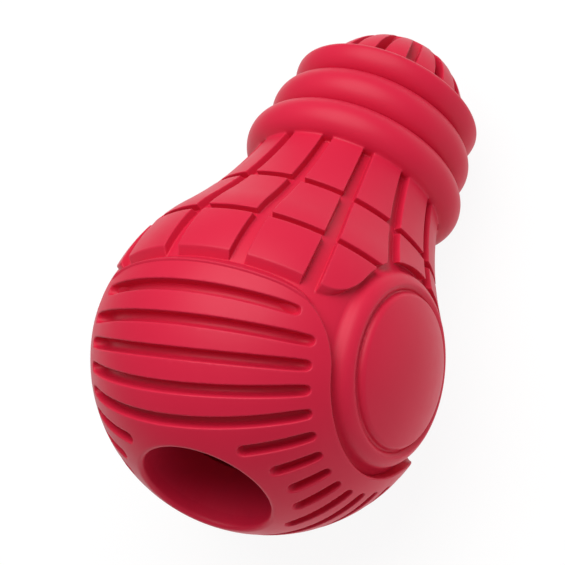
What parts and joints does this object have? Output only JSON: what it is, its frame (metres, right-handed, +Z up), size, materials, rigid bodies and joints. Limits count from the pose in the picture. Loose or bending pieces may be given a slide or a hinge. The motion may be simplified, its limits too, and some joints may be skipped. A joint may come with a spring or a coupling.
{
  "type": "treat dispensing dog toy",
  "caption": "Hollow bulb-shaped rubber dog toy with a round treat mouth in a slotted globe, a blocked neck, side medallions and a ringed, domed end.",
  "frame": {"origin": "on the floor, under the middle of the lying toy's box", "axes": "+Z up, -Y towards the treat mouth, +Y towards the ringed end, +X and -X towards the medallions"},
  "size_m": [0.0694, 0.1088, 0.0695],
  "materials": {
    "moulded_rubber": "satin, as moulded, red right through"
  },
  "bodies": {
    "root": {"hollow_body": "moulded_rubber", "chew_band": "moulded_rubber", "medallion_ring_right": "moulded_rubber", "medallion_disc_right": "moulded_rubber", "medallion_ring_left": "moulded_rubber", "medallion_disc_left": "moulded_rubber", "base_ring_large": "moulded_rubber", "base_ring_middle": "moulded_rubber", "base_ring_small": "moulded_rubber", "end_dome": "moulded_rubber"}
  },
  "joints": []
}
